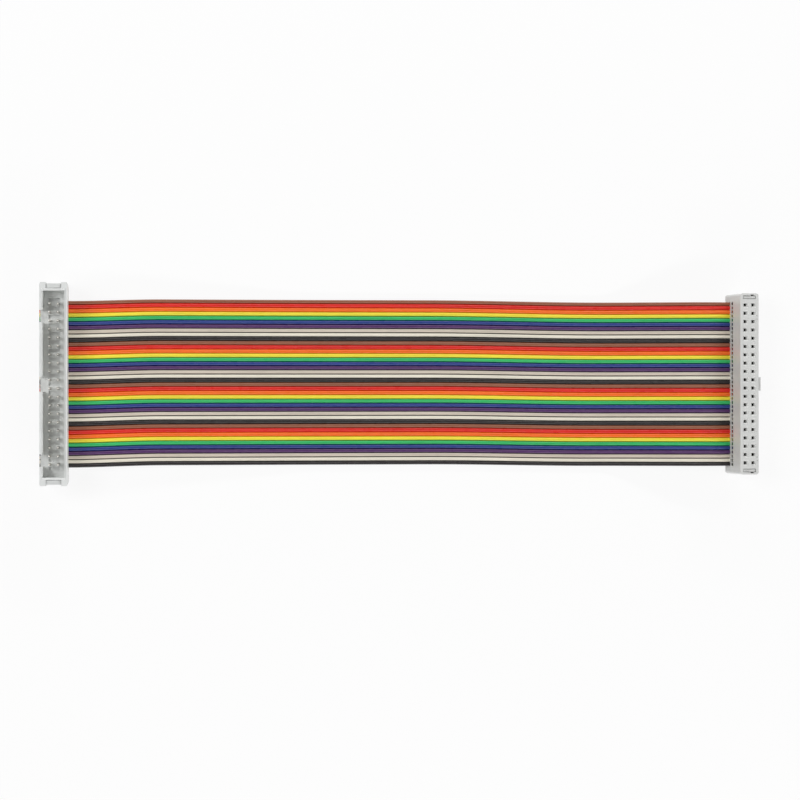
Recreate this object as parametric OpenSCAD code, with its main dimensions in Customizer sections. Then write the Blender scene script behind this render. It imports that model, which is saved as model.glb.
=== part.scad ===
// Rainbow ribbon cable. Insulated wires bonded edge to edge are crimped at one end into a
// male box header and at the other end into a female socket.
// The origin lies on the table under the middle of the cable. +X runs along the cable from
// the header to the socket, +Y points to the first wire and +Z away from the table.

/* [Ribbon] */
// Number of wires, an even number
ways = 40; // [36:2:50]
// Distance between the centres of neighbouring wires
wire_pitch = 1.27; // [1.2:0.01:1.4]
// Height of one insulated wire
wire_d = 1.0; // [0.9:0.01:1.05]
// Width of the crown of one insulated wire
crown_w = 0.5; // [0.3:0.01:0.6]
// Thickness of the web that bonds neighbouring wires
web_t = 0.35; // [0.25:0.01:0.45]
// Diameter of the conductor in each wire
core_d = 0.36; // [0.3:0.01:0.4]
// Length of ribbon between the faces of the two connectors
free_l = 203.3; // [150:1:400]
// Length of each wire's cut end that shows past the header
cut_end_l = 0.2; // [0.1:0.05:0.4]
// Distance of each wire's other end inside the socket's far face
hidden_end_l = 0.15; // [0.1:0.05:0.5]

/* [Lie of the ribbon] */
// Space under the wires where the ribbon lies on the table
table_gap = 0.05; // [0.02:0.01:0.2]
// Length of the first easy slope where the ribbon leaves the table
takeoff_l = 5; // [3:0.5:10]
// Slope of the ribbon where it rises to the socket, in degrees
rise_angle = 10; // [8:0.5:16]
// Length of each stretch over the crest in front of the socket
crest_l = 3; // [2:0.5:6]
// Straight length of ribbon in front of the socket
entry_l = 3; // [2:0.5:10]

/* [Crimp] */
// Play between the ribbon and the plastic around it
crimp_play = 0.025; // [0.02:0.005:0.05]
// Room on both sides of the ribbon in the connectors
ribbon_side_play = 0.15; // [0.1:0.05:0.3]
// Gap of the seam between a connector's body and its cover
seam_gap = 0.05; // [0.02:0.01:0.1]
// Sheet thickness of the piercing forks
fork_t = 0.3; // [0.2:0.01:0.4]
// Width of a piercing fork
fork_w = 0.92; // [0.8:0.01:1.0]
// Depth to which the fork tips reach under the middle of the wires
fork_reach = 0.95; // [0.8:0.05:1.3]
// Height of the closed part of a fork over the middle of the wires
fork_h = 2.3; // [1.8:0.1:2.8]
// Running gap between a contact and the plastic around it
contact_play = 0.04; // [0.02:0.01:0.06]
// Gap between a conductor and what surrounds it
core_play = 0.01; // [0.005:0.005:0.02]

/* [Header] */
// Lean of the header towards the socket, in degrees
header_lean = 2.4; // [1.8:0.1:4]
// Width of the cavity that takes a mating socket
cavity_w = 6.4; // [6.2:0.1:8]
// Distance from the last pin to the end of the cavity
cavity_end = 3.87; // [3.6:0.01:5]
// Depth of the cavity
cavity_depth = 6.9; // [6.5:0.1:9]
// Height of the cavity's floor over the middle of the wires
floor_h = 3.6; // [3.4:0.1:5]
// Thickness of the long walls around the cavity
header_wall = 0.95; // [0.8:0.05:1.6]
// Thickness of the end walls with their latch channels
header_end_t = 2.45; // [2.4:0.05:4]
// Width of the bevel around the mouth of the cavity
mouth_bevel = 0.5; // [0.2:0.05:0.6]
// Width of the keyway in the middle of the wall away from the cable
keyway_w = 4.5; // [3.8:0.1:6]
// Width of the two smaller slots in the same wall
slot_w = 3.8; // [2:0.1:4.5]
// Pins between the keyway and the slot nearer the first wire
slot_near = 8; // [3:1:8]
// Pins between the keyway and the slot nearer the last wire
slot_far = 9; // [3:1:9]
// Length of the recesses in the floor between the pins
recess_l = 3.3; // [2.5:0.1:4.5]
// Width of the recesses in the floor
recess_w = 1.0; // [0.6:0.1:1.4]
// Depth of the recesses in the floor
recess_depth = 0.8; // [0.2:0.1:0.8]
// Thickness of the header's cover
header_cover_t = 3.4; // [2.8:0.1:5]

/* [Pins] */
// Thickness of the square pins
pin_t = 0.64; // [0.5:0.02:0.7]
// Length of the pins over the floor
pin_l = 6.0; // [5:0.1:6.5]
// Length of the tapered tip of a pin
pin_tip_l = 0.45; // [0.2:0.05:0.8]
// Thickness of a pin at the very tip
pin_tip_t = 0.3; // [0.2:0.02:0.4]

/* [Socket] */
// Lean of the socket away from the header, in degrees
socket_lean = 9.5; // [4:0.5:12]
// Width of the socket
socket_w = 6.0; // [5.8:0.1:6.2]
// Distance from the last hole to the end of the socket
socket_end = 3.57; // [3.3:0.01:4.5]
// Height of the mating face over the middle of the wires
socket_h = 8.9; // [7:0.1:10]
// Thickness of the socket's cover
socket_cover_t = 3.4; // [2.6:0.1:4.5]
// Width of the square pin holes
hole_w = 0.9; // [0.74:0.02:1]
// Width of the funnel around each hole
funnel_w = 1.7; // [1.3:0.1:2]
// Depth of the funnels
funnel_depth = 0.45; // [0.2:0.05:0.6]
// Thickness of the plastic over the contacts
roof_t = 1.4; // [0.8:0.05:1.4]
// Width of a contact's cell across the socket
cell_w = 1.5; // [1.3:0.05:1.6]
// Length of a contact's cell along the socket
cell_l = 1.1; // [1:0.05:1.3]
// Length of the key on the side of the socket
key_l = 4.1; // [3:0.1:4.3]
// Distance that the key stands out
key_out = 1.0; // [0.5:0.1:1.2]
// Distance of the key under the mating face
key_drop = 1.0; // [0.5:0.1:2]
// Height of the key
key_h = 3.8; // [2:0.1:4.5]

// Diameter of the dimples beside the edge on the key's side
dimple_d = 0.35; // [0.2:0.05:0.4]
// Distance between the two dimples of a pair
dimple_gap = 1.0; // [0.6:0.1:1.6]

/* [Contacts] */
// Thickness of a contact's two spring beams
beam_t = 0.18; // [0.12:0.01:0.25]
// Width of the spring beams
beam_w = 0.8; // [0.6:0.05:0.95]
// Gap between the beams where they grip a pin
grip_gap = 0.5; // [0.4:0.02:0.6]

/* [Latches] */
// Thickness of the legs of the header's cover
header_leg_t = 1.3; // [0.8:0.05:1.3]
// Width of the legs of the header's cover
header_leg_w = 4.25; // [3:0.05:4.6]
// Distance of the header's legs inside the ends of the header
header_leg_inset = 0.35; // [0.2:0.05:0.6]
// Depth to which the header's hooks reach into the end walls
header_hook = 0.33; // [0.2:0.01:0.4]
// Thickness of the legs of the socket's cover
socket_leg_t = 0.75; // [0.6:0.05:0.95]
// Width of the legs of the socket's cover
socket_leg_w = 3.8; // [3:0.05:4]
// Distance of the socket's legs inside the ends of the socket
socket_leg_inset = 0.85; // [0.8:0.05:1]
// Depth to which the socket's hooks reach over their ledges
socket_hook = 0.3; // [0.15:0.01:0.3]
// Width of the socket's hooks
socket_hook_w = 0.8; // [0.6:0.05:1]
// Distance of the socket's hooks from the middle of their legs, towards the key
socket_hook_x = 0.9; // [0.5:0.1:1]
// Height of a hook
hook_h = 1.3; // [0.8:0.1:1.8]
// Play around the legs
leg_play = 0.15; // [0.08:0.01:0.15]

/* [Comb] */
// Depth of the comb's openings in the sides of both connectors
comb_depth = 1.0; // [0.6:0.05:1.1]
// Thickness of the bar along the foot of the comb
comb_bar_t = 0.35; // [0.2:0.05:0.4]
// Height of that bar over the middle of the wires
comb_foot = 1.1; // [1:0.1:1.6]
// Height of the openings between the teeth
comb_slot_h = 1.0; // [0.4:0.1:1.2]
// Width of the openings between the teeth
comb_slot_w = 0.85; // [0.4:0.05:0.95]
// Height of the groove over the teeth
comb_groove_h = 0.7; // [0.4:0.1:0.8]

/* [Edges] */
// Corner radius of the header's body
header_corner_r = 0.5; // [0.2:0.1:1]
// Corner radius of the header's cover
header_cover_r = 1.0; // [0.4:0.1:1.5]
// Corner radius of the socket
socket_corner_r = 0.9; // [0.4:0.1:1.2]
// Radius of the long edges
edge_r = 0.2; // [0.1:0.05:0.3]

/* [Hidden] */
$fn = 48;
COLOURS = [
    ["brown", [0.36, 0.22, 0.13]],
    ["red", [0.72, 0.07, 0.06]],
    ["orange", [0.85, 0.32, 0.07]],
    ["yellow", [0.86, 0.74, 0.15]],
    ["green", [0.12, 0.55, 0.28]],
    ["blue", [0.12, 0.19, 0.45]],
    ["violet", [0.25, 0.14, 0.33]],
    ["grey", [0.72, 0.68, 0.62]],
    ["white", [0.87, 0.85, 0.78]],
    ["black", [0.10, 0.09, 0.10]]
];
function wire_colour(i) = COLOURS[(i - 1) % len(COLOURS)];
function wire_name(i) = str("wire_", i < 10 ? "0" : "", i, "_", wire_colour(i)[0]);
PLASTIC = [0.80, 0.81, 0.80];
METAL = [0.78, 0.74, 0.62];
COPPER = [0.78, 0.45, 0.30];
cut = 1; // how far a cutting shape runs past the face that it cuts

// Grid of the wires and of the pins, two rows of half as many
pairs = ways / 2;
pin_pitch = 2 * wire_pitch;
row_x = pin_pitch / 2;
grid_l = (pairs - 1) * pin_pitch;
ribbon_w = ways * wire_pitch;
function wire_y(i) = ((ways + 1) / 2 - i) * wire_pitch;
function pair_y(p) = ((pairs + 1) / 2 - p) * pin_pitch;
function row_side(i) = i % 2 == 1 ? -1 : 1;

// Crimp
seat_z = web_t / 2 + crimp_play;
seam_z = -seat_z + seam_gap;
fork_pocket = [fork_t + 2 * contact_play, fork_w + 2 * contact_play];
fork_slot_w = core_d + 2 * core_play;

// Header, measured from the middle of the wires
header_w = cavity_w + 2 * header_wall;
cavity_l = grid_l + 2 * cavity_end;
header_l = cavity_l + 2 * header_end_t;
header_top = floor_h + cavity_depth;
header_bottom = -(seat_z + header_cover_t);
header_leg_out = header_l / 2 - header_leg_inset;
header_leg_in = header_leg_out - header_leg_t;
header_hook_z = floor_h + cavity_depth / 3;

// Socket, measured from the middle of the wires
socket_l = grid_l + 2 * socket_end;
socket_bottom = -(seat_z + socket_cover_t);
socket_leg_out = socket_l / 2 - socket_leg_inset;
socket_leg_in = socket_leg_out - socket_leg_t;
socket_hook_z = socket_h * 0.62;
cell_top = socket_h - roof_t;
key_top = socket_h - key_drop;

// Height of the wires over the table in a leaning connector that stands on a rounded edge
function lift(w, bottom, lean) =
    (w / 2 - edge_r) * sin(lean) + (-bottom - edge_r) * cos(lean) + edge_r;
header_z = lift(header_w, header_bottom, header_lean);
socket_z = lift(socket_w, socket_bottom, socket_lean);

// Route of the ribbon seen from the side, as straight stretches [length, turn after it in
// degrees], where a turn upwards is positive
ribbon_z = wire_d / 2 + table_gap;
header_tail = header_w / 2 + cut_end_l;
crest_turns = 4;
crest_turn = (rise_angle + socket_lean) / crest_turns;
slope_l = (header_z - ribbon_z) / sin(header_lean);
takeoff_rise = takeoff_l * sin(rise_angle / 2);
crest_rise = crest_l * (sin(rise_angle - crest_turn) + sin(rise_angle - 2 * crest_turn)
    + sin(rise_angle - 3 * crest_turn));
entry_drop = (entry_l + socket_w / 2) * sin(socket_lean);
rise_l = (socket_z - ribbon_z - takeoff_rise - crest_rise + entry_drop) / sin(rise_angle);
crest_total = (crest_turns - 1) * crest_l;
flat_l = free_l - (slope_l - header_w / 2) - takeoff_l - rise_l - crest_total - entry_l;
route = [
    [header_tail + slope_l, header_lean],
    [flat_l, rise_angle / 2],
    [takeoff_l, rise_angle / 2],
    [rise_l, -crest_turn],
    [crest_l, -crest_turn],
    [crest_l, -crest_turn],
    [crest_l, -crest_turn],
    [entry_l + socket_w - hidden_end_l, 0]
];

// Heading of the ribbon along a stretch, and the point [x, z] where the stretch starts
function heading(k) = k == 0 ? -header_lean : heading(k - 1) + route[k - 1][1];
function point(k, from) = k == 0
    ? from
    : point(k - 1, from) + route[k - 1][0] * [cos(heading(k - 1)), sin(heading(k - 1))];

// Places of the connectors, with the whole cable centred over the origin
last = len(route) - 1;
tail_z = header_z + header_tail * sin(header_lean);
socket_run = point(last, [0, tail_z])[0] + (entry_l + socket_w / 2) * cos(socket_lean);
cable_w = socket_run + (socket_w / 2 + key_out) * cos(socket_lean) + key_top * sin(socket_lean);
tail = [-cable_w / 2, tail_z];
header_x = tail[0] + header_tail * cos(header_lean);
socket_x = tail[0] + socket_run;

module at_header() {
    translate([header_x, 0, header_z])
        rotate([0, header_lean, 0])
            children();
}

module at_socket() {
    translate([socket_x, 0, socket_z])
        rotate([0, socket_lean, 0])
            children();
}

// Section drawn as [across, up] points, carried along the whole route with a mitre at each
// turn and run past both ends by a length
module along_route(section, past = 0) {
    n = len(section);
    function spot(k) = k == 0
        ? tail - past * [cos(heading(0)), sin(heading(0))]
        : point(k, tail) + (k > last ? past : 0) * [cos(heading(last)), sin(heading(last))];
    function turn(k) = k == 0 || k > last ? 0 : route[k - 1][1];
    function mitre(k) = k > last ? heading(last) : heading(k) - turn(k) / 2;
    rings = [
        for (k = [0:last + 1], p = section)
            let (at = spot(k), up = p[1] / cos(turn(k) / 2))
                [at[0] - up * sin(mitre(k)), p[0], at[1] + up * cos(mitre(k))]
    ];
    sides = [
        for (k = [0:last], j = [0:n - 1])
            [k * n + j, (k + 1) * n + j, (k + 1) * n + (j + 1) % n, k * n + (j + 1) % n]
    ];
    ends = [[for (j = [0:n - 1]) j], [for (j = [n - 1:-1:0]) (last + 1) * n + j]];
    polyhedron(rings, concat(sides, ends), convexity = 4);
}

// Section of one wire's insulation: a ridge on both faces with half of the web on each side,
// and no web outside the first and the last wire
function wire_section(i) =
    let (
        y = wire_y(i),
        first_side = i == 1 ? wire_d / 2 : wire_pitch / 2,
        last_side = i == ways ? wire_d / 2 : wire_pitch / 2
    ) [
        [y + first_side, -web_t / 2], [y + first_side, web_t / 2],
        [y + crown_w / 2, wire_d / 2], [y - crown_w / 2, wire_d / 2],
        [y - last_side, web_t / 2], [y - last_side, -web_t / 2],
        [y - crown_w / 2, -wire_d / 2], [y + crown_w / 2, -wire_d / 2]
    ];

// Section of one stranded conductor, whose strands lie in a six-sided bundle
function core_section(i, play) = [
    for (a = [0:60:300]) (core_d / 2 + play) * [cos(a), sin(a)] + [wire_y(i), 0]
];

// Gap that a fork bites through the insulation
module bite(i) {
    translate([row_side(i) * row_x, wire_y(i), 0])
        cube([fork_t + 2 * core_play, fork_w + 2 * core_play, wire_d + 2 * cut], center = true);
}

module wire(i) {
    color(wire_colour(i)[1])
        difference() {
            along_route(wire_section(i));
            along_route(core_section(i, core_play), cut);
            at_header() bite(i);
            at_socket() bite(i);
        }
}

module conductors() {
    color(COPPER)
        for (i = [1:ways])
            along_route(core_section(i, 0));
}

// Rectangle with round corners
module round_rect(w, l, r) {
    square([w - 2 * r, l], center = true);
    square([w, l - 2 * r], center = true);
    for (x = [-1, 1], y = [-1, 1])
        translate([x * (w / 2 - r), y * (l / 2 - r)]) circle(r);
}

// Block between two heights, with round corners and long edges rounded at the end height
module moulding(w, l, from, to, corner_r) {
    low = min(from, to);
    high = max(from, to);
    round_z = to > from ? to - edge_r : to + edge_r;
    intersection() {
        translate([0, 0, low]) linear_extrude(high - low) round_rect(w, l, corner_r);
        rotate([90, 0, 0])
            linear_extrude(l + cut, center = true) {
                translate([-w / 2, min(from, round_z)]) square([w, abs(round_z - from)]);
                translate([-w / 2 + edge_r, low]) square([w - 2 * edge_r, high - low]);
                for (x = [-1, 1]) translate([x * (w / 2 - edge_r), round_z]) circle(edge_r);
            }
    }
}

// Space for the ribbon across a connector, cut into what lies over it: a groove for each wire
// between teeth that reach down to the webs, and room beside the ribbon
module ribbon_space(w) {
    crown_z = wire_d / 2 + crimp_play;
    half_crown = crown_w / 2 + crimp_play;
    half_room = ribbon_w / 2 + ribbon_side_play;
    grooves = [
        for (i = [1:ways]) each [
            [wire_y(i) + half_crown, crown_z],
            [wire_y(i) - half_crown, crown_z],
            [wire_y(i) - wire_pitch / 2, seat_z]
        ]
    ];
    rotate([90, 0, 90])
        linear_extrude(w + 2 * cut, center = true)
            polygon(concat(
                [[half_room, -cut], [half_room, seat_z], [ribbon_w / 2, seat_z]],
                grooves,
                [[-half_room, seat_z], [-half_room, -cut]]
            ));
}

// Pockets for the forks, up to a height over the wires and down to a depth under them
module fork_pockets(up, down) {
    for (i = [1:ways])
        translate([row_side(i) * row_x, wire_y(i), (up - down) / 2])
            cube([fork_pocket[0], fork_pocket[1], up + down], center = true);
}

// Tapers whose width changes from w1 at z1 to w2 at z2: a wedge for the columns of the grid
// crossed with a wedge for its rows leaves a four-sided funnel at each place of the grid
module taper(w1, z1, w2, z2, length) {
    rotate([90, 0, 0])
        linear_extrude(length, center = true)
            polygon([[-w1 / 2, z1], [w1 / 2, z1], [w2 / 2, z2], [-w2 / 2, z2]]);
}

module grid_tapers(w1, z1, w2, z2) {
    intersection() {
        for (side = [-1, 1]) translate([side * row_x, 0, 0]) taper(w1, z1, w2, z2, grid_l + pin_pitch);
        for (p = [1:pairs])
            translate([0, pair_y(p), 0]) rotate([0, 0, 90]) taper(w1, z1, w2, z2, 2 * pin_pitch);
    }
}

// Openings of the comb along both sides of a connector: between the teeth, in the groove over
// them, and behind the bar down to the wires
module comb_openings(w) {
    slot_top = comb_foot + comb_slot_h;
    well = comb_depth - comb_bar_t;
    for (side = [-1, 1]) {
        translate([side * w / 2, 0, slot_top + comb_groove_h / 2])
            cube([2 * comb_depth, ribbon_w, comb_groove_h], center = true);
        for (i = [1:ways]) translate([side * w / 2, wire_y(i), 0]) {
            translate([0, 0, comb_foot + (comb_slot_h + cut / 8) / 2])
                cube([2 * comb_depth, comb_slot_w, comb_slot_h + cut / 8], center = true);
            translate([-side * (comb_depth - well / 2), 0, slot_top / 2])
                cube([well, comb_slot_w, slot_top], center = true);
        }
    }
}

module header_body() {
    leg_room = [header_leg_w + 2 * leg_play, header_l / 2 - header_leg_in + leg_play];
    color(PLASTIC)
        at_header()
            difference() {
                moulding(header_w, header_l, seam_z, header_top, header_corner_r);
                ribbon_space(header_w);
                fork_pockets(fork_h + contact_play, cut);
                grid_tapers(pin_t + 2 * contact_play, -cut, pin_t + 2 * contact_play, floor_h + cut);
                comb_openings(header_w);
                translate([-cavity_w / 2, -cavity_l / 2, floor_h])
                    cube([cavity_w, cavity_l, cavity_depth + cut]);
                header_mouth();
                floor_recesses();
                keyways();
                for (end = [0, 1]) mirror([0, end, 0]) {
                    translate([-leg_room[0] / 2, header_l / 2 - leg_room[1], seam_z - cut])
                        cube([leg_room[0], leg_room[1] + cut, header_top - seam_z + 2 * cut]);
                    translate([-leg_room[0] / 2, header_leg_in - leg_play - header_hook - contact_play,
                            header_hook_z - seam_gap])
                        cube([leg_room[0], header_hook + leg_play + cut, hook_h + 2 * seam_gap]);
                }
            }
}

// Bevel around the mouth of the cavity
module header_mouth() {
    wide = 2 * (mouth_bevel + cut);
    intersection() {
        taper(cavity_w, header_top - mouth_bevel, cavity_w + wide, header_top + cut, header_l);
        rotate([0, 0, 90])
            taper(cavity_l, header_top - mouth_bevel, cavity_l + wide, header_top + cut, 2 * header_w);
    }
}

module floor_recesses() {
    for (p = [0:pairs])
        translate([0, pair_y(p + 0.5), floor_h])
            cube([recess_l, recess_w, 2 * recess_depth], center = true);
}

// Keyway and polarising slots in the wall away from the cable
module keyways() {
    for (s = [[0, keyway_w], [slot_near, slot_w], [-slot_far, slot_w]])
        translate([-header_w / 2 - cut, s[0] * pin_pitch - s[1] / 2, floor_h])
            cube([header_wall + 2 * cut, s[1], cavity_depth + cut]);
}

// Hook whose flat face looks to -Z, on a leg that ends at y = 0, reaching to +Y
module hook(w, reach) {
    rotate([90, 0, 90])
        linear_extrude(w, center = true)
            polygon([[-cut / 4, 0], [reach, 0], [reach, hook_h / 4], [0, hook_h], [-cut / 4, hook_h]]);
}

// Cover with its grooves, its fork slots and a leg at each end
module cover(w, l, bottom, corner_r, leg_w, leg_in, leg_t, leg_top) {
    difference() {
        moulding(w, l, -seat_z, bottom, corner_r);
        mirror([0, 0, 1]) ribbon_space(w);
        fork_pockets(0, fork_reach + 2 * contact_play);
    }
    for (end = [0, 1]) mirror([0, end, 0])
        translate([-leg_w / 2, leg_in, bottom + edge_r])
            cube([leg_w, leg_t, leg_top - bottom - edge_r]);
}

module header_cover() {
    color(PLASTIC)
        at_header() {
            cover(header_w, header_l, header_bottom, header_cover_r, header_leg_w, header_leg_in,
                header_leg_t, header_top - mouth_bevel);
            for (end = [0, 180]) rotate([0, 0, end])
                translate([0, header_leg_in, header_hook_z])
                    rotate([0, 0, 180]) hook(header_leg_w, leg_play + header_hook);
        }
}

// Outline of a fork seen along the wire, which sits in its slot
module fork_outline(top) {
    difference() {
        translate([-fork_w / 2, -fork_reach]) square([fork_w, fork_reach + top]);
        translate([-fork_slot_w / 2, -fork_reach - cut]) square([fork_slot_w, fork_reach + cut]);
        circle(d = fork_slot_w);
        polygon([[-fork_w / 2, -fork_reach - cut], [fork_w / 2, -fork_reach - cut],
            [fork_w / 3, -fork_reach], [0, -fork_reach + fork_w / 3], [-fork_w / 3, -fork_reach]]);
    }
}

// Stamped fork with a shoulder that leads to the contact's middle, at y = to
module fork(to) {
    rotate([90, 0, 90])
        linear_extrude(fork_t, center = true) {
            fork_outline(fork_h);
            translate([min(0, to), fork_h - pin_t]) square([abs(to), pin_t]);
        }
}

// Square pin with a tapered tip, from one height to another
module pin(from, to) {
    translate([-pin_t / 2, -pin_t / 2, from]) cube([pin_t, pin_t, to - pin_tip_l - from]);
    intersection() {
        taper(pin_t, to - pin_tip_l, pin_tip_t, to, pin_t);
        rotate([0, 0, 90]) taper(pin_t, to - pin_tip_l, pin_tip_t, to, pin_t);
    }
}

// Contact places of one row: first = 1 takes the odd wires and first = 2 the even ones
module contact_row(first) {
    for (i = [first:2:ways]) translate([row_side(i) * row_x, wire_y(i), 0]) children();
}

module header_contacts(first) {
    to = row_side(first) * wire_pitch / 2;
    color(METAL)
        at_header()
            contact_row(first) {
                fork(to);
                translate([0, to, 0]) pin(fork_h - pin_t, floor_h + pin_l);
            }
}

// Side view of a contact's two beams, which draw together to grip a pin
module beams_outline() {
    foot = cell_w / 2 - contact_play;
    grip_z = cell_top - 1;
    for (side = [0, 1]) mirror([side, 0])
        polygon([
            [foot - beam_t, fork_h - pin_t], [foot, fork_h - pin_t], [foot, fork_h],
            [grip_gap / 2 + beam_t, grip_z], [foot - beam_t / 2, cell_top - contact_play],
            [foot - 3 * beam_t / 2, cell_top - contact_play], [grip_gap / 2, grip_z],
            [foot - beam_t, fork_h]
        ]);
    translate([-foot, fork_h - pin_t]) square([2 * foot, beam_t]);
}

module socket_contacts(first) {
    to = row_side(first) * wire_pitch / 2;
    color(METAL)
        at_socket()
            contact_row(first) {
                fork(to);
                translate([0, to, 0])
                    rotate([90, 0, 0])
                        linear_extrude(beam_w, center = true) beams_outline();
            }
}

module socket_body() {
    color(PLASTIC)
        at_socket() {
            difference() {
                moulding(socket_w, socket_l, seam_z, socket_h, socket_corner_r);
                ribbon_space(socket_w);
                fork_pockets(fork_h + contact_play, cut);
                contact_cells();
                grid_tapers(hole_w, cell_top - cut / 2, hole_w, socket_h + cut);
                grid_tapers(hole_w, socket_h - funnel_depth, funnel_w, socket_h);
                comb_openings(socket_w);
                for (end = [0, 1]) mirror([0, end, 0]) leg_well();
                side_dimples();
            }
            translate([socket_w / 2 - cut / 2, -key_l / 2, key_top - key_h])
                cube([key_out + cut / 2, key_l, key_h]);
        }
}

// Cells for the contacts, open to the underside
module contact_cells() {
    intersection() {
        for (side = [-1, 1])
            translate([side * row_x, 0, cell_top / 2])
                cube([cell_w, grid_l + pin_pitch, cell_top + 2 * cut], center = true);
        for (p = [1:pairs])
            translate([0, pair_y(p), (cell_top - cut) / 2])
                cube([2 * pin_pitch, cell_l, cell_top + cut], center = true);
    }
}

// Well for a leg of the socket's cover, with a pocket for its hook over a ledge
module leg_well() {
    w = socket_leg_w + 2 * leg_play;
    inner = socket_leg_in - leg_play;
    translate([-w / 2, inner, seam_z - cut])
        cube([w, socket_leg_t + 2 * leg_play, socket_h - seam_z + 2 * cut]);
    translate([socket_hook_x - socket_hook_w / 2 - leg_play, inner, socket_hook_z - seam_gap])
        cube([socket_hook_w + 2 * leg_play, socket_leg_t + 2 * leg_play + socket_hook, socket_h]);
}

// Small dimples beside the key side's edge, level with the header's slots
module side_dimples() {
    for (s = [slot_near, -slot_far], side = [-1, 1])
        translate([socket_w / 2 - edge_r - dimple_d, s * pin_pitch + side * dimple_gap / 2, socket_h])
            cylinder(d = dimple_d, h = 2 * dimple_d, center = true);
}

module socket_cover() {
    color(PLASTIC)
        at_socket() {
            cover(socket_w, socket_l, socket_bottom, socket_corner_r, socket_leg_w, socket_leg_in,
                socket_leg_t, socket_h - edge_r);
            for (end = [0, 1]) mirror([0, end, 0])
                translate([socket_hook_x, socket_leg_out, socket_hook_z])
                    hook(socket_hook_w, leg_play + socket_hook);
        }
}

for (i = [1:ways])
    wire(i);
conductors();
header_body();
header_cover();
header_contacts(1);  // header_contacts_odd
header_contacts(2);  // header_contacts_even
socket_body();
socket_cover();
socket_contacts(1);  // socket_contacts_odd
socket_contacts(2);  // socket_contacts_even
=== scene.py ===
"""Dresses the rainbow ribbon cable and sets it in a pale studio under a camera."""
import math

import bpy
from mathutils import Matrix, Vector


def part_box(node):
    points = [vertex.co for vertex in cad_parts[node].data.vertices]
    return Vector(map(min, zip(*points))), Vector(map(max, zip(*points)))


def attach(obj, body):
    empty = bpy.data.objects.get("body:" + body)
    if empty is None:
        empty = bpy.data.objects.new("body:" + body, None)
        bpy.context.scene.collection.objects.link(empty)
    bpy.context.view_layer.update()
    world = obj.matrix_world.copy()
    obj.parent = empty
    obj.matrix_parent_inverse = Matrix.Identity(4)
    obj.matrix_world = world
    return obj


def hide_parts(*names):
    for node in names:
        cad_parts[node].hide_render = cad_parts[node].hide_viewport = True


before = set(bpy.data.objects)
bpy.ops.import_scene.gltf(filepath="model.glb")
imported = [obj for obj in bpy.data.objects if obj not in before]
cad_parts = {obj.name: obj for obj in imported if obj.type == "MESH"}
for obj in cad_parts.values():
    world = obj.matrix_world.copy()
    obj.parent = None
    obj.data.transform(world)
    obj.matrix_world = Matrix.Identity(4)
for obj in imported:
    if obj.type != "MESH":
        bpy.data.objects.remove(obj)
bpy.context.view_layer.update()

bl_info = {
    "name": "Rainbow ribbon cable",
    "version": (1, 0, 0),
    "blender": (4, 5, 0),
    "location": "View3D > Sidebar > Ribbon cable",
    "description": "Dresses a flat rainbow cable with its header and socket",
    "category": "Object",
}

MM = 0.001

# Turn in radians and gap in metres that are too small to count
NO_TURN = 1e-6
NO_GAP = 1e-7

# How far a rounded bend reaches along both of its sides, and where its points lie
BEND_REACH = 6 * MM
BEND_SHARES = (0.0, 0.2, 0.4, 0.6, 0.8, 1.0)

# Distance between the stations along a wire
STATION_STEP = 2.2 * MM

# Stretches over the crest in front of the socket
CREST_STRETCHES = 3

# Shares of the free length where the bow is out in full, where it turns back and where it ends
BOW_OUT = 0.14
BOW_BACK = 0.54
BOW_END = 0.80

# Angle in radians between the face of the web and the foot of a crown
FOOT_GAP = 0.02

# Painted highlight at the points of a crown, from its foot to its top
FLANK_HIGHLIGHT = (0.0, 0.5, 1.0, 0.7, 0.2, 0.0)

# Gain and lift of a colour for the painted highlight on the flanks
HIGHLIGHT_GAIN = 1.06
HIGHLIGHT_LIFT = 0.045

# Strands around the middle one, their turn from wire to wire, and the reach of their tips out of
# the cut end and into it
STRANDS_AROUND = 6
STRAND_TURN = 0.7
TIP_OUT = 0.04 * MM
TIP_IN = 0.4 * MM

# Sides of a round conductor or strand
ROUND_SIDES = 8

# Range that noise seldom leaves
NOISE_LOW = 0.3
NOISE_HIGH = 0.7

# Insulation colours in the order in which the wires repeat them
INSULATION = {
    "brown": (0.270, 0.092, 0.045, 1.0),
    "red": (0.680, 0.014, 0.007, 1.0),
    "orange": (0.880, 0.150, 0.008, 1.0),
    "yellow": (0.860, 0.730, 0.040, 1.0),
    "green": (0.026, 0.450, 0.125, 1.0),
    "blue": (0.017, 0.043, 0.225, 1.0),
    "violet": (0.078, 0.022, 0.115, 1.0),
    "grey": (0.620, 0.550, 0.460, 1.0),
    "white": (0.800, 0.755, 0.640, 1.0),
    "black": (0.010, 0.007, 0.008, 1.0),
}
COLOUR_ORDER = list(INSULATION)

# Painted shade between two wires: the share of its brightness that each colour keeps there
GROOVE_PAINTED_SHADE = {
    "brown": 0.80,
    "red": 1.00,
    "orange": 0.95,
    "yellow": 0.75,
    "green": 0.60,
    "blue": 0.55,
    "violet": 0.50,
    "grey": 0.27,
    "white": 0.25,
    "black": 0.80,
}

# Power setting, place and size in metres of each lamp
LAMPS = {
    "Upper strip": ("strips", (0.15, 0.62, 0.26), (0.70, 0.05)),
    "Lower strip": ("strips", (0.15, -0.62, 0.26), (0.70, 0.05)),
    "Left lamp": ("left", (-0.49, 0.14, 0.68), (0.36, 0.36)),
    "Right lamp": ("right", (0.74, -0.06, 0.62), (0.90, 0.90)),
}

# Half the floor's width, the camera's nearest and farthest sight in metres, and the width of its
# sensor in millimetres
FLOOR_HALF = 3.0
CLIP_NEAR = 0.01
CLIP_FAR = 20.0
SENSOR = 36.0


def colour_property(label, value):
    return bpy.props.FloatVectorProperty(
        name=label, description=f"Colour of the {label.lower()}", subtype="COLOR", size=4,
        min=0.0, max=1.0, default=value)


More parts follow.
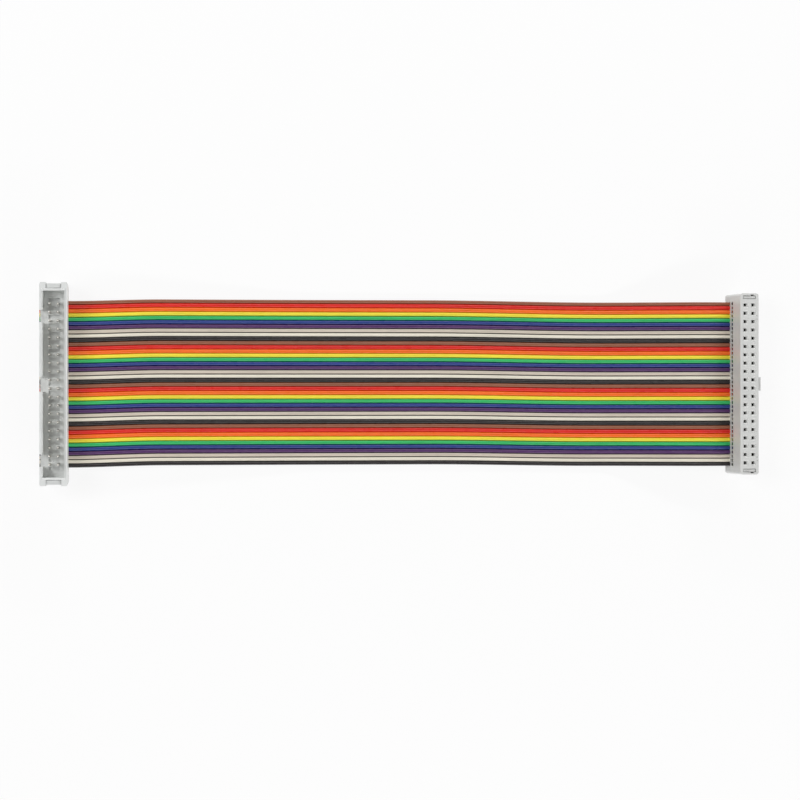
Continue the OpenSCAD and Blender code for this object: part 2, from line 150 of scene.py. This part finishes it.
def length_property(label, text, millimetres):
    return bpy.props.FloatProperty(
        name=label, description=text, unit="LENGTH", min=0.0, default=millimetres * MM)


def angle_property(label, text, degrees):
    return bpy.props.FloatProperty(
        name=label, description=text, subtype="ANGLE", default=math.radians(degrees))


class RibbonSettings(bpy.types.PropertyGroup):
    """Sizes and colours of the flat cable"""

    ways: bpy.props.IntProperty(
        name="Wires", description="Number of wires side by side", min=2, max=50, default=40)
    pitch: length_property("Wire pitch", "Distance between neighbouring wires", 1.27)
    height: length_property("Wire height", "Height of one insulated wire", 1.0)
    web: length_property("Web thickness", "Thickness of the bond between two wires", 0.35)
    core: length_property("Conductor", "Diameter of a stranded conductor", 0.36)
    free: length_property("Free length", "Length of ribbon between the connectors", 203.3)
    cut_end: length_property("Cut ends", "Length of wire past the header", 0.2)
    cut_past: length_property("Longer cut ends", "Length of insulation past the solids", 0.2)
    strand: length_property("Strand", "Diameter of one strand of a conductor", 0.12)
    hidden_end: length_property("Hidden ends", "Distance of the ends inside the socket", 0.15)
    table_gap: length_property("Table gap", "Space under the wires on the table", 0.05)
    takeoff: length_property("Take-off", "First easy slope off the table", 5)
    crest: length_property("Crest", "Length of each stretch over the crest", 3)
    entry: length_property("Entry", "Straight length in front of the socket", 3)
    rise: angle_property("Rise", "Slope of the ribbon as it rises to the socket", 10)
    sway: length_property("Sway", "Sideways bow of the ribbon towards the first wire", 0.60)
    brown: colour_property("Brown wires", INSULATION["brown"])
    red: colour_property("Red wires", INSULATION["red"])
    orange: colour_property("Orange wires", INSULATION["orange"])
    yellow: colour_property("Yellow wires", INSULATION["yellow"])
    green: colour_property("Green wires", INSULATION["green"])
    blue: colour_property("Blue wires", INSULATION["blue"])
    violet: colour_property("Violet wires", INSULATION["violet"])
    grey: colour_property("Grey wires", INSULATION["grey"])
    white: colour_property("White wires", INSULATION["white"])
    black: colour_property("Black wires", INSULATION["black"])


class ConnectorSettings(bpy.types.PropertyGroup):
    """Stance and colours of the two connectors"""

    header_lean: angle_property("Header lean", "Lean of the header towards the socket", 2.4)
    header_width: length_property("Header width", "Width across the long walls", 8.3)
    header_depth: length_property("Header depth", "Underside below the wires' middle", 3.6)
    socket_lean: angle_property("Socket lean", "Lean of the socket away from the header", 9.5)
    socket_width: length_property("Socket width", "Width across the socket", 6)
    socket_depth: length_property("Socket depth", "Underside below the wires' middle", 3.6)
    edge: length_property("Edge radius", "Radius of the long edges", 0.2)
    header_plastic: colour_property("Header plastic", (0.760, 0.775, 0.765, 1.0))
    socket_plastic: colour_property("Socket plastic", (0.695, 0.700, 0.685, 1.0))
    pins: colour_property("Bright pins", (0.84, 0.82, 0.77, 1.0))
    springs: colour_property("Spring contacts", (0.42, 0.38, 0.30, 1.0))
    copper: colour_property("Copper strands", (0.80, 0.38, 0.22, 1.0))


class StudioSettings(bpy.types.PropertyGroup):
    """Camera and light"""

    distance: length_property("Camera distance", "From the camera to the table", 700)
    tilt: angle_property("Camera tilt", "Tilt of the camera towards the header's side", 4.1)
    aim_x: bpy.props.FloatProperty(
        name="Aim along", description="Point looked at, along the cable", unit="LENGTH",
        default=-0.00026)
    aim_y: bpy.props.FloatProperty(
        name="Aim across", description="Point looked at, across the cable", unit="LENGTH",
        default=-0.00484)
    focal: bpy.props.FloatProperty(
        name="Focal length", description="Lens in millimetres on a 36 mm wide sensor",
        default=102.30)
    roll: angle_property("Camera roll", "Turn of the camera about its own view", 0.045)
    sky: bpy.props.FloatProperty(
        name="Sky light", description="Strength of the even light", min=0.0, default=0.12)
    strips: bpy.props.FloatProperty(
        name="Strip lamps", description="Power in watts of each long low lamp along the cable",
        min=0.0, default=3.0)
    left: bpy.props.FloatProperty(
        name="Left lamp", description="Power in watts of the lamp above the header", min=0.0,
        default=2.9)
    right: bpy.props.FloatProperty(
        name="Right lamp", description="Power in watts of the lamp behind the socket", min=0.0,
        default=1.0)
    floor: colour_property("Floor", (0.93, 0.93, 0.93, 1.0))
    glow: bpy.props.FloatProperty(
        name="Floor glow", description="Share of plain white in the floor that is seen", min=0.0,
        max=1.0, default=0.88)


# Shader building

class Shader:
    """A node material around one Principled BSDF"""

    def __init__(self, name):
        self.material = bpy.data.materials.new(name)
        self.material.use_nodes = True
        self.tree = self.material.node_tree
        self.bsdf = self.tree.nodes["Principled BSDF"]
        self.place = self.add("ShaderNodeTexCoord").outputs["Object"]

    def add(self, kind, **values):
        node = self.tree.nodes.new(kind)
        for key, value in values.items():
            setattr(node, key, value)
        return node

    def link(self, source, target):
        self.tree.links.new(source, target)

    def noise(self, scale, detail=3.0, stretch=(1.0, 1.0, 1.0)):
        """Noise whose grain is about 1 / scale metres, drawn out by stretch"""
        mapping = self.add("ShaderNodeMapping")
        mapping.inputs["Scale"].default_value = [scale * s for s in stretch]
        self.link(self.place, mapping.inputs["Vector"])
        noise = self.add("ShaderNodeTexNoise")
        noise.inputs["Scale"].default_value = 1.0
        noise.inputs["Detail"].default_value = detail
        self.link(mapping.outputs["Vector"], noise.inputs["Vector"])
        return noise.outputs["Fac"]

    def between(self, factor, low, high):
        """Number that runs from low to high as factor runs over its middle range"""
        node = self.add("ShaderNodeMapRange")
        node.inputs["From Min"].default_value = NOISE_LOW
        node.inputs["From Max"].default_value = NOISE_HIGH
        node.inputs["To Min"].default_value = low
        node.inputs["To Max"].default_value = high
        self.link(factor, node.inputs["Value"])
        return node.outputs["Result"]

    def tint(self, factor, first, second):
        """Colour that runs from first to second as factor runs from 0 to 1"""
        node = self.add("ShaderNodeMix", data_type="RGBA")
        for socket, colour in zip(("A", "B"), (first, second)):
            if isinstance(colour, tuple):
                node.inputs[socket].default_value = colour
            else:
                self.link(colour, node.inputs[socket])
        self.link(factor, node.inputs["Factor"])
        return node.outputs["Result"]

    def attribute(self, name):
        """A number kept on the points of the mesh"""
        return self.add("ShaderNodeAttribute", attribute_name=name).outputs["Fac"]

    def bump(self, factor, height):
        """Fine relief of the surface, as high as height in metres"""
        node = self.add("ShaderNodeBump")
        node.inputs["Distance"].default_value = height
        node.inputs["Strength"].default_value = 1.0
        self.link(factor, node.inputs["Height"])
        self.link(node.outputs["Normal"], self.bsdf.inputs["Normal"])


def pale(colour):
    """The colour of the painted highlight on the flanks of a wire"""
    return tuple(min(1.0, HIGHLIGHT_GAIN * c + HIGHLIGHT_LIFT) for c in colour[:3]) + (1.0,)


def shade(colour, factor):
    """The colour made darker or lighter by a factor"""
    return tuple(min(1.0, c * factor) for c in colour[:3]) + (1.0,)


def insulation_material(name, colour, groove_painted_shade):
    """Soft extruded insulation, drawn out along the wire, faintly uneven in tone, with a painted
    highlight on the flanks and painted shade in the grooves"""
    shader = Shader(f"{name} insulation")
    along = shader.noise(scale=400.0, detail=4.0, stretch=(0.12, 1.0, 1.0))
    tone = shader.between(along, 0.0, 1.0)
    skin = shader.tint(tone, shade(colour, 0.86), shade(colour, 1.12))
    # Painted highlight: paler colour on the flanks of each crown
    skin = shader.tint(shader.attribute("flank"), skin, pale(colour))
    # Painted shade: darker colour at the foot of each crown, between the wires
    shader.link(shader.tint(shader.attribute("groove"), skin, shade(colour, groove_painted_shade)),
                shader.bsdf.inputs["Base Color"])
    sheen = shader.noise(scale=900.0, detail=2.0, stretch=(0.3, 1.0, 1.0))
    shader.link(shader.between(sheen, low=0.24, high=0.34), shader.bsdf.inputs["Roughness"])
    shader.bsdf.inputs["Specular IOR Level"].default_value = 0.18
    skin_grain = shader.noise(scale=2600.0, detail=3.0, stretch=(0.35, 1.0, 1.0))
    shader.bump(skin_grain, height=0.012 * MM)
    return shader.material


def plastic_material(name, colour):
    """Filled moulding plastic with a fine matt skin and faint flow clouds"""
    shader = Shader(name)
    clouds = shader.between(shader.noise(scale=130.0, detail=5.0), 0.0, 1.0)
    shader.link(shader.tint(clouds, shade(colour, 0.95), shade(colour, 1.04)),
                shader.bsdf.inputs["Base Color"])
    sheen = shader.noise(scale=1500.0, detail=2.0)
    shader.link(shader.between(sheen, low=0.28, high=0.40), shader.bsdf.inputs["Roughness"])
    shader.bsdf.inputs["Specular IOR Level"].default_value = 0.45
    shader.bump(shader.noise(scale=5200.0, detail=3.0), height=0.010 * MM)
    return shader.material


def metal_material(name, colour, rough, grain):
    """Drawn or plated metal with a fine grain, drawn out as grain says"""
    shader = Shader(name)
    patches = shader.between(shader.noise(scale=700.0, detail=4.0), 0.0, 1.0)
    shader.link(shader.tint(patches, shade(colour, 0.88), shade(colour, 1.06)),
                shader.bsdf.inputs["Base Color"])
    shader.bsdf.inputs["Metallic"].default_value = 1.0
    sheen = shader.noise(scale=3000.0, detail=2.0, stretch=grain)
    shader.link(shader.between(sheen, low=rough - 0.06, high=rough + 0.08),
                shader.bsdf.inputs["Roughness"])
    shader.bump(shader.noise(scale=6000.0, detail=2.0, stretch=grain), height=0.006 * MM)
    return shader.material


# Route of the ribbon

def lift(width, depth, edge, lean):
    """Height of the wires in a leaning connector that stands on its rounded edge"""
    return (width / 2 - edge) * math.sin(lean) + (depth - edge) * math.cos(lean) + edge


def route_points(ribbon, connectors):
    """Corners [x, z] of the route and its turns, from the cut ends to the socket"""
    header_z = lift(connectors.header_width, connectors.header_depth, connectors.edge,
                    connectors.header_lean)
    socket_z = lift(connectors.socket_width, connectors.socket_depth, connectors.edge,
                    connectors.socket_lean)
    flat_z = ribbon.height / 2 + ribbon.table_gap
    tail = connectors.header_width / 2 + ribbon.cut_end
    slope = (header_z - flat_z) / math.sin(connectors.header_lean)
    turn = (ribbon.rise + connectors.socket_lean) / (CREST_STRETCHES + 1)
    takeoff_rise = ribbon.takeoff * math.sin(ribbon.rise / 2)
    crest_rise = ribbon.crest * sum(
        math.sin(ribbon.rise - k * turn) for k in range(1, CREST_STRETCHES + 1))
    entry_drop = (ribbon.entry + connectors.socket_width / 2) * math.sin(connectors.socket_lean)
    rise = (socket_z - flat_z - takeoff_rise - crest_rise + entry_drop) / math.sin(ribbon.rise)
    flat = (ribbon.free - (slope - connectors.header_width / 2) - ribbon.takeoff - rise
            - CREST_STRETCHES * ribbon.crest - ribbon.entry)
    stretches = [
        (ribbon.cut_past + tail + slope, connectors.header_lean),
        (flat, ribbon.rise / 2),
        (ribbon.takeoff, ribbon.rise / 2),
        (rise, -turn),
        *[(ribbon.crest, -turn)] * CREST_STRETCHES,
        (ribbon.entry + connectors.socket_width - ribbon.hidden_end, 0.0),
    ]
    heading = -connectors.header_lean
    cut_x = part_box("wire_01_brown")[0].x + ribbon.height / 2 * math.sin(connectors.header_lean)
    cut = Vector((cut_x, header_z + tail * math.sin(connectors.header_lean)))
    corners = [cut - ribbon.cut_past * Vector((math.cos(heading), math.sin(heading)))]
    turns = [0.0]
    for length, change in stretches:
        corners.append(corners[-1] + length * Vector((math.cos(heading), math.sin(heading))))
        turns.append(change)
        heading += change
    return corners, turns


def smooth_route(corners, turns):
    """Stations (place, normal) along the route with its corners rounded off"""
    ends = (0, len(corners) - 1)
    places = []
    for k, corner in enumerate(corners):
        if k in ends or abs(turns[k]) < NO_TURN:
            places.append(corner)
            continue
        before = corners[k - 1] - corner
        after = corners[k + 1] - corner
        reach = min(BEND_REACH, before.length / 2, after.length / 2)
        start = corner + before.normalized() * reach
        end = corner + after.normalized() * reach
        for share in BEND_SHARES:
            places.append(start.lerp(corner, share).lerp(corner.lerp(end, share), share))
    spaced = [places[0]]
    for a, b in zip(places, places[1:]):
        gap = (b - a).length
        if gap < NO_GAP:
            continue
        steps = max(1, round(gap / STATION_STEP))
        spaced.extend(a.lerp(b, n / steps) for n in range(1, steps + 1))
    stations = []
    for k, place in enumerate(spaced):
        ahead = spaced[min(k + 1, len(spaced) - 1)] - spaced[max(k - 1, 0)]
        ahead.normalize()
        stations.append((place, Vector((-ahead.y, ahead.x))))
    return stations


def swept(name, stations, sections, bow):
    """Mesh of closed sections, drawn as (across, up, groove, flank), carried along the stations"""
    points = []
    marks = []
    faces = []
    for section in sections:
        count = len(section)
        first = len(points)
        last = first + (len(stations) - 1) * count
        for (place, up), shift in zip(stations, bow):
            for across, height, *_ in section:
                points.append((place.x + up.x * height, across + shift, place.y + up.y * height))
        marks += section * len(stations)
        for ring in range(first, last, count):
            for j in range(count):
                after = (j + 1) % count
                faces.append((ring + j, ring + count + j, ring + count + after, ring + after))
        faces.append(tuple(range(first, first + count)))
        faces.append(tuple(last + j for j in reversed(range(count))))
    mesh = bpy.data.meshes.new(name)
    mesh.from_pydata(points, [], faces)
    mesh.polygons.foreach_set("use_smooth", [True] * len(faces))
    # Masks for the painted shade between the wires and the painted highlight on the flanks
    for k, kind in ((2, "groove"), (3, "flank")):
        values = mesh.attributes.new(kind, "FLOAT", "POINT")
        values.data.foreach_set("value", [mark[k] for mark in marks])
    mesh.update()
    return mesh


def wire_section(y, ribbon, webs):
    """Round crown on both faces, with half of the web on each side that has a neighbour"""
    radius = ribbon.height / 2
    web = ribbon.web / 2
    side = ribbon.pitch / 2
    steps = 2 * (len(FLANK_HIGHLIGHT) - 1)
    start = math.asin(web / radius) + FOOT_GAP
    first_web, last_web = webs
    section = []
    for face, has_web, far_web in ((1, first_web, last_web), (-1, last_web, first_web)):
        if has_web:
            section.append((y + face * side, -face * web, 1.0, 0.0))
            section.append((y + face * side, face * web, 1.0, 0.0))
        else:
            for angle in (-start, -start / 2, 0.0, start / 2, start):
                section.append((y + face * radius * math.cos(angle),
                                face * radius * math.sin(angle), 0.0, 0.0))
        for n in range(steps + 1):
            angle = start + (math.pi - 2 * start) * n / steps
            beside = has_web if n < steps / 2 else far_web
            # Painted shade at the foot of each crown that has a neighbour
            groove = 1.0 if beside and n in (0, steps) else 0.0
            # Painted highlight, palest part way up each flank
            flank = FLANK_HIGHLIGHT[min(n, steps - n)]
            point = (y + face * radius * math.cos(angle), face * radius * math.sin(angle),
                     groove, flank)
            if point[:2] != section[-1][:2]:
                section.append(point)
    return section


def core_section(y, radius):
    """Round section of one conductor, with no groove and no flank"""
    turns = [math.tau * k / ROUND_SIDES for k in range(ROUND_SIDES)]
    return [(y + radius * math.cos(a), radius * math.sin(a), 0.0, 0.0) for a in turns]


def wire_place(number, ribbon):
    """Place across of a wire, counted from 1"""
    return ((ribbon.ways + 1) / 2 - number) * ribbon.pitch


def sideways(x, sway, start, end):
    """Sideways bow of the ribbon: it leaves the header towards the first wire, and comes back
    in front of the socket"""
    def ease(low, high):
        """Share that runs softly from 0 to 1 between two places along the cable"""
        t = min(1.0, max(0.0, (x - low) / (high - low)))
        return t * t * (3 - 2 * t)
    length = end - start
    out = ease(start, start + BOW_OUT * length)
    back = ease(start + BOW_BACK * length, start + BOW_END * length)
    return sway * (out - back)


def ribbon_run(ribbon, connectors):
    """Stations and sideways shifts along the ribbon, and the point where it leaves the header"""
    corners, turns = route_points(ribbon, connectors)
    stations = smooth_route(corners, turns)
    inside = connectors.header_width + ribbon.cut_end + ribbon.cut_past
    exit_at = corners[0] + inside * (corners[1] - corners[0]).normalized()
    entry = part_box("socket_cover")[0].x
    bow = [sideways(place.x, ribbon.sway, exit_at.x, entry) for place, up in stations]
    return stations, bow, exit_at


def show(name, mesh, material):
    """Object of a mesh in the scene, with its material"""
    piece = bpy.data.objects.new(name, mesh)
    bpy.context.scene.collection.objects.link(piece)
    mesh.materials.append(material)
    return piece


class CABLE_OT_wires(bpy.types.Operator):
    """Lay the bonded insulated wires from the header to the socket"""

    bl_idname = "cable.wires"
    bl_label = "Insulated wires"

    def execute(self, context):
        ribbon = context.scene.ribbon
        stations, bow, exit_at = ribbon_run(ribbon, context.scene.connectors)
        materials = {
            name: insulation_material(name.capitalize(), getattr(ribbon, name), GROOVE_PAINTED_SHADE[name])
            for name in COLOUR_ORDER
        }
        for number in range(1, ribbon.ways + 1):
            colour = COLOUR_ORDER[(number - 1) % len(COLOUR_ORDER)]
            node = f"wire_{number:02d}_{colour}"
            y = wire_place(number, ribbon)
            webs = (number > 1, number < ribbon.ways)
            mesh = swept(node, stations, [wire_section(y, ribbon, webs)], bow)
            piece = show(f"{colour}_wire_{number:02d}", mesh, materials[colour])
            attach(piece, "root")
            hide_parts(node)
        return {"FINISHED"}


class CABLE_OT_conductors(bpy.types.Operator):
    """Lay the conductors inside the wires, with their strands' tips in the cut ends"""

    bl_idname = "cable.conductors"
    bl_label = "Conductors"

    def execute(self, context):
        ribbon = context.scene.ribbon
        connectors = context.scene.connectors
        copper = metal_material("Copper strands", connectors.copper, 0.30, (0.2, 1.0, 1.0))
        stations, bow, exit_at = ribbon_run(ribbon, connectors)
        numbers = range(1, ribbon.ways + 1)
        sections = [core_section(wire_place(n, ribbon), ribbon.core / 2) for n in numbers]
        cores = show("copper_cores", swept("copper_cores", stations, sections, bow), copper)
        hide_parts("conductors")
        tips = show("strand_ends", self.strand_tips(ribbon, stations[0][0], exit_at), copper)
        for piece in (cores, tips):
            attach(piece, "root")
        return {"FINISHED"}

    def strand_tips(self, ribbon, cut, exit_at):
        """Mesh of six strands around one in each cut end"""
        along = (exit_at - cut).normalized()
        across = Vector((-along.y, along.x))
        points = []
        faces = []
        for number in range(1, ribbon.ways + 1):
            for strand in range(STRANDS_AROUND + 1):
                turn = math.tau * strand / STRANDS_AROUND + STRAND_TURN * number
                off = 0.0 if strand == STRANDS_AROUND else ribbon.strand
                y = wire_place(number, ribbon) + off * math.cos(turn)
                middle = cut + off * math.sin(turn) * across
                self.add_strand(points, faces, middle, y, along, across, ribbon.strand / 2)
        mesh = bpy.data.meshes.new("strand_ends")
        mesh.from_pydata(points, [], faces)
        mesh.update()
        return mesh

    def add_strand(self, points, faces, middle, y, along, across, radius):
        """One short strand that looks out of a cut end"""
        sides = ROUND_SIDES
        first = len(points)
        for reach in (-TIP_OUT, TIP_IN):
            place = middle + reach * along
            for k in range(sides):
                turn = math.tau * k / sides
                point = place + radius * math.sin(turn) * across
                points.append((point.x, y + radius * math.cos(turn), point.y))
        for k in range(sides):
            after = (k + 1) % sides
            faces.append((first + k, first + after, first + sides + after, first + sides + k))
        faces.append(tuple(first + k for k in reversed(range(sides))))
        faces.append(tuple(first + sides + k for k in range(sides)))


def dress_node(node, material):
    """Give a node that stays from the CAD its material"""
    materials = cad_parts[node].data.materials
    materials.clear()
    materials.append(material)


class CABLE_OT_mouldings(bpy.types.Operator):
    """Finish the moulded bodies and covers of the header and the socket"""

    bl_idname = "cable.mouldings"
    bl_label = "Connector mouldings"

    def execute(self, context):
        connectors = context.scene.connectors
        header = plastic_material("Header plastic", connectors.header_plastic)
        socket = plastic_material("Socket plastic", connectors.socket_plastic)
        for piece in ("body", "cover"):
            dress_node(f"header_{piece}", header)
            dress_node(f"socket_{piece}", socket)
        return {"FINISHED"}


class CABLE_OT_contacts(bpy.types.Operator):
    """Finish the plated pins, forks and spring contacts"""

    bl_idname = "cable.contacts"
    bl_label = "Contacts"

    def execute(self, context):
        connectors = context.scene.connectors
        pins = metal_material("Plated pins", connectors.pins, 0.20, (1.0, 1.0, 0.2))
        springs = metal_material("Plated springs", connectors.springs, 0.24, (1.0, 1.0, 0.2))
        for row in ("odd", "even"):
            dress_node(f"header_contacts_{row}", pins)
            dress_node(f"socket_contacts_{row}", springs)
        return {"FINISHED"}


class CABLE_OT_studio(bpy.types.Operator):
    """Set the floor, the sky, the lamps and the camera"""

    bl_idname = "cable.studio"
    bl_label = "Studio"

    def execute(self, context):
        scene = context.scene
        studio = scene.studio
        self.make_floor(studio)
        self.make_sky(scene, studio)
        for name, (power, place, size) in LAMPS.items():
            self.add_lamp(name, place, size, getattr(studio, power))
        self.add_camera(scene, studio)
        scene.view_settings.view_transform = "Standard"
        return {"FINISHED"}

    def add_camera(self, scene, studio):
        """Camera high above the middle, tilted a little towards the header's side"""
        aim = Vector((studio.aim_x, studio.aim_y, 0.0))
        camera = bpy.data.objects.new("Camera", bpy.data.cameras.new("Camera"))
        scene.collection.objects.link(camera)
        camera.data.sensor_width = SENSOR
        camera.data.lens = studio.focal
        camera.data.clip_start = CLIP_NEAR
        camera.data.clip_end = CLIP_FAR
        back = Vector((-math.sin(studio.tilt), 0.0, math.cos(studio.tilt)))
        right = Vector((math.cos(studio.tilt), 0.0, math.sin(studio.tilt)))
        turn = Matrix((right, Vector((0.0, 1.0, 0.0)), back)).transposed()
        turn = turn @ Matrix.Rotation(-studio.roll, 3, "Z")
        camera.matrix_world = Matrix.Translation(aim + studio.distance * back) @ turn.to_4x4()
        scene.camera = camera

    def make_floor(self, studio):
        """Pale table that shows white to the camera and keeps the shadow"""
        half = FLOOR_HALF
        mesh = bpy.data.meshes.new("Floor")
        mesh.from_pydata([(-half, -half, 0), (half, -half, 0), (half, half, 0), (-half, half, 0)],
                         [], [(0, 1, 2, 3)])
        material = bpy.data.materials.new("Pale floor")
        material.use_nodes = True
        tree = material.node_tree
        bsdf = tree.nodes["Principled BSDF"]
        bsdf.inputs["Base Color"].default_value = studio.floor
        bsdf.inputs["Roughness"].default_value = 0.9
        bsdf.inputs["Specular IOR Level"].default_value = 0.1
        glow = tree.nodes.new("ShaderNodeEmission")
        mix = tree.nodes.new("ShaderNodeMixShader")
        seen = backdrop_rays(tree)
        soft = tree.nodes.new("ShaderNodeMath")
        soft.operation = "MULTIPLY"
        soft.inputs[1].default_value = studio.glow
        tree.links.new(seen, soft.inputs[0])
        tree.links.new(soft.outputs[0], mix.inputs["Fac"])
        tree.links.new(bsdf.outputs["BSDF"], mix.inputs[1])
        tree.links.new(glow.outputs["Emission"], mix.inputs[2])
        tree.links.new(mix.outputs["Shader"], tree.nodes["Material Output"].inputs["Surface"])
        show("Floor", mesh, material)

    def make_sky(self, scene, studio):
        """Even white light, weak on the object and plain white where it is seen"""
        world = bpy.data.worlds.new("Studio sky")
        scene.world = world
        world.use_nodes = True
        tree = world.node_tree
        background = tree.nodes["Background"]
        background.inputs["Color"].default_value = (1.0, 1.0, 1.0, 1.0)
        seen = backdrop_rays(tree)
        strength = tree.nodes.new("ShaderNodeMapRange")
        strength.inputs["To Min"].default_value = studio.sky
        strength.inputs["To Max"].default_value = 1.0
        tree.links.new(seen, strength.inputs["Value"])
        tree.links.new(strength.outputs["Result"], background.inputs["Strength"])

    def add_lamp(self, name, place, size, power):
        """Flat lamp that faces the middle of the cable"""
        light = bpy.data.lights.new(name, "AREA")
        light.shape = "RECTANGLE"
        light.size, light.size_y = size
        light.energy = power
        lamp = bpy.data.objects.new(name, light)
        bpy.context.scene.collection.objects.link(lamp)
        lamp.location = place
        lamp.rotation_euler = Vector(place).to_track_quat("Z", "Y").to_euler()


def backdrop_rays(tree):
    """1 for the camera's, glossy and transmission rays, and 0 for the rest"""
    rays = tree.nodes.new("ShaderNodeLightPath")
    total = rays.outputs["Is Camera Ray"]
    for kind in ("Is Glossy Ray", "Is Transmission Ray"):
        both = tree.nodes.new("ShaderNodeMath")
        both.operation = "MAXIMUM"
        tree.links.new(total, both.inputs[0])
        tree.links.new(rays.outputs[kind], both.inputs[1])
        total = both.outputs[0]
    return total


OPERATORS = (
    CABLE_OT_wires,
    CABLE_OT_conductors,
    CABLE_OT_mouldings,
    CABLE_OT_contacts,
    CABLE_OT_studio,
)


class CABLE_PT_maker(bpy.types.Panel):
    """The steps that dress the cable"""

    bl_idname = "CABLE_PT_maker"
    bl_label = "Ribbon cable"
    bl_space_type = "VIEW_3D"
    bl_region_type = "UI"
    bl_category = "Ribbon cable"

    def draw(self, context):
        for operator in OPERATORS:
            self.layout.operator(operator.bl_idname)


SETTINGS = {
    "ribbon": RibbonSettings,
    "connectors": ConnectorSettings,
    "studio": StudioSettings,
}
CLASSES = tuple(SETTINGS.values()) + OPERATORS + (CABLE_PT_maker,)


def register():
    for item in CLASSES:
        bpy.utils.register_class(item)
    for name, group in SETTINGS.items():
        setattr(bpy.types.Scene, name, bpy.props.PointerProperty(type=group))


def unregister():
    for name in SETTINGS:
        delattr(bpy.types.Scene, name)
    for item in reversed(CLASSES):
        bpy.utils.unregister_class(item)


def main():
    register()
    bpy.ops.cable.wires()
    bpy.ops.cable.conductors()
    bpy.ops.cable.mouldings()
    bpy.ops.cable.contacts()
    bpy.ops.cable.studio()


if __name__ == "__main__":
    main()
